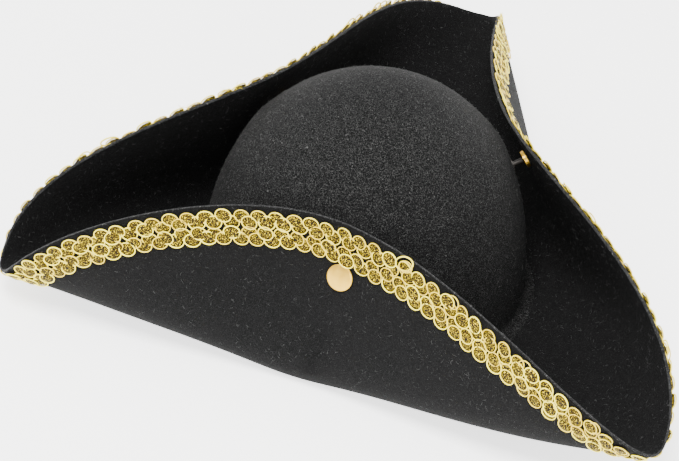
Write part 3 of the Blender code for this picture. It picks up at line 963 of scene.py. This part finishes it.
def plated_gold():
    """Pale gold plate on pressed brass: smooth, with a faint haze from handling."""
    material, tree, shader = new_material("pale_gold_plate", Metallic=1.0, Roughness=0.3)
    place = add_node(tree, "ShaderNodeTexCoord").outputs["Object"]
    haze = add_node(tree, "ShaderNodeTexNoise", {"Vector": place}, {"Scale": 260.0, "Detail": 4.0})
    level = add_node(tree, "ShaderNodeMapRange", {"Value": haze}, {"To Min": 0.24, "To Max": 0.44})
    tree.links.new(level.outputs[0], shader.inputs["Roughness"])
    tint = add_node(tree, "ShaderNodeMix", {"Factor": haze}, {6: linear("#D2A02A"), 7: linear("#EAC250")},
                    data_type="RGBA")
    tree.links.new(tint.outputs[2], shader.inputs["Base Color"])
    return material


plate = plated_gold()
# The ball studs are made near-black brass, darker than the plated parts round them.
dark_ball_stud_brass, _, _ = new_material("black_lacquered_brass", Base_Color=linear("#1B1713"), Roughness=0.45, Metallic=0.6)
CAP_RADIUS = 0.0077


def turned_piece(name, profile, centre, outward, sides=48):
    """Spins a profile of (radius, height), from the axis round to the axis or to its start, about outward."""
    spin = Vector((0, 0, 1)).rotation_difference(Vector(outward)).to_matrix()
    open_middle = profile[0][0] > 0
    bm = bmesh.new()
    rings = []
    for radius, height in profile:
        if radius == 0:
            rings.append([bm.verts.new(spin @ Vector((0, 0, height)) + Vector(centre))] * sides)
            continue
        turns = [math.tau * side / sides for side in range(sides)]
        rings.append([bm.verts.new(spin @ Vector((radius * math.cos(turn), radius * math.sin(turn), height))
                                   + Vector(centre)) for turn in turns])
    pairs = list(zip(rings, rings[1:])) + ([(rings[-1], rings[0])] if open_middle else [])
    for low, high in pairs:
        for side in range(sides):
            after = (side + 1) % sides
            # A point on the axis stands in for its whole ring, so it is counted once.
            ring = list(dict.fromkeys((low[side], low[after], high[after], high[side])))
            if len(ring) > 2:
                bm.faces.new(ring)
    mesh = write_mesh(bm, bpy.data.meshes.new(name))
    mesh.set_sharp_from_angle(angle=math.radians(42))
    return add_object(mesh, plate)


for flap in FLAPS:
    along, depth = (np.array([value]) for value in STUDS[flap])
    seat, out, _, _ = (value[0] for value in felt_frame(flap, along, rows_at_depth(flap, along, depth)))
    dome = [(CAP_RADIUS * math.sin(a), 0.0006 + 0.00115 * math.cos(a) ** 0.9) for a in np.linspace(0, 1.45, 9)]
    rim = [(CAP_RADIUS, 0.0003), (CAP_RADIUS - 0.0002, -0.0003), (CAP_RADIUS - 0.0007, -0.0004), (0.0, -0.0003)]
    cap = turned_piece(flap + "_stud_cap", dome + rim, seat + out * (FELT / 2 + 0.0010), out, 64)
    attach(cap, BODY_OF_FLAP[flap])
    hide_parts(flap + "_cap")
    for part, finish in (("socket", plate), ("stud", dark_ball_stud_brass), ("post", plate)):
        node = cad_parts[f"{flap}_{part}"]
        node.data.materials.clear()
        node.data.materials.append(finish)
print("studs", [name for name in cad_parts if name.endswith("stud")])

# %% [markdown]
# ## Sweatband
#
# A woven ribbon lines the crown where it meets the head. It is ribbed across its width. Its strip follows
# the same oval rule as the crown, so it is laid as a grid of points just inside the wall, with its ribs as
# a small wave. A row of black stitches, laid by the same tree as the braid, sews its lower edge to the
# felt. A woven ribbon is smoother and a little shinier than felt.

# %% Ribbon and its stitches
BAND_HEIGHT, BAND_LIFT, BAND_THICK, BAND_GAP = 0.030, 0.004, 0.0009, 0.0003
RIB_PITCH = 0.0022
STITCH_PITCH, STITCH_LIFT = 0.0045, 0.0025


def band_place(turns, height, inward):
    """Points on the crown's inner wall, set in from it."""
    reach = oval(turns, FELT) * crown_share(height / (CROWN_HEIGHT - FELT)) - inward
    return direction(turns) * reach[..., None] + UP * height[..., None]


def sweatband_piece():
    """A closed strip round the inside of the crown, ribbed on its inner face."""
    around = math.tau * (CROWN_HALF_WIDTH + CROWN_HALF_LENGTH) / 2
    ribs = round(around / RIB_PITCH)
    turns = np.linspace(0, math.tau, ribs * 4, endpoint=False)
    rib = 0.00012 * np.cos(turns * ribs)
    heights = np.linspace(BAND_LIFT, BAND_LIFT + BAND_HEIGHT, 7)
    turned_at, height_at = np.meshgrid(turns, heights, indexing="ij")
    outer = band_place(turned_at, height_at, np.full(turned_at.shape, BAND_GAP))
    inward = BAND_GAP + BAND_THICK + np.broadcast_to(rib[:, None], turned_at.shape)
    inner = band_place(turned_at, height_at, inward)
    grid = np.concatenate([outer, inner[:, ::-1]], axis=1)
    mesh, _ = loop_mesh("sweatband_ribbon", grid, closed=True)
    bm = bmesh.new()
    bm.from_mesh(mesh)
    write_mesh(bm, mesh)
    mesh.set_sharp_from_angle(angle=math.radians(50))
    return mesh, around


tape, _, _ = new_material("ribbed_black_ribbon", Base_Color=linear("#0B0B0C"), Roughness=0.62, Sheen_Weight=0.1)
band_mesh, band_length = sweatband_piece()
sweatband = add_object(band_mesh, tape)
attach(sweatband, "hood")
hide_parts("sweatband")

stitch_count = round(band_length / STITCH_PITCH)
stitch_turns = np.linspace(0, math.tau, stitch_count, endpoint=False)
stitch_places = band_place(stitch_turns, np.full(stitch_count, BAND_LIFT + STITCH_LIFT),
                           np.full(stitch_count, BAND_GAP + BAND_THICK))
stitch_shape = bpy.data.objects.new("stitch", thread_mesh("stitch", 0.0030, 0.00022, 0.0003, 5, 5))
thread_finish, _, _ = new_material("black_sewing_thread", Base_Color=linear("#1E1E20"), Roughness=0.5)
stitches = run_tree(
    point_mesh("stitch_points", [stitch_places], [direction(stitch_turns + math.pi / 2)], [-direction(stitch_turns)],
               [np.ones(stitch_count)]),
    lay_on_points, "sweatband_stitches", {"Shape": stitch_shape, "Finish": thread_finish, "Wobble": 0.04, "Seed": 9})
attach(stitches, "hood")
print("ribbon, metres:", round(band_length, 3), "stitches:", stitch_count)

# %% [markdown]
# Felt and ribbon are both sheet goods, so each is declared with the size it would be cut to. The felt was
# stretched over the block while damp, so its finished area, measured on the middle of its thickness, stands
# for it.


def felt_area(flap):
    """Area of a flap's middle surface, in square metres."""
    points = felt_points(flap, np.linspace(-1, 1, 121)[:, None], np.linspace(0, 1, 61)[None, :])
    across, up = points[1:, :-1] - points[:-1, :-1], points[:-1, 1:] - points[:-1, :-1]
    return float(np.linalg.norm(np.cross(across, up), axis=2).sum())


for flap, piece in flap_felt.items():
    area, long = felt_area(flap), sum(EDGE_LENGTH[flap])
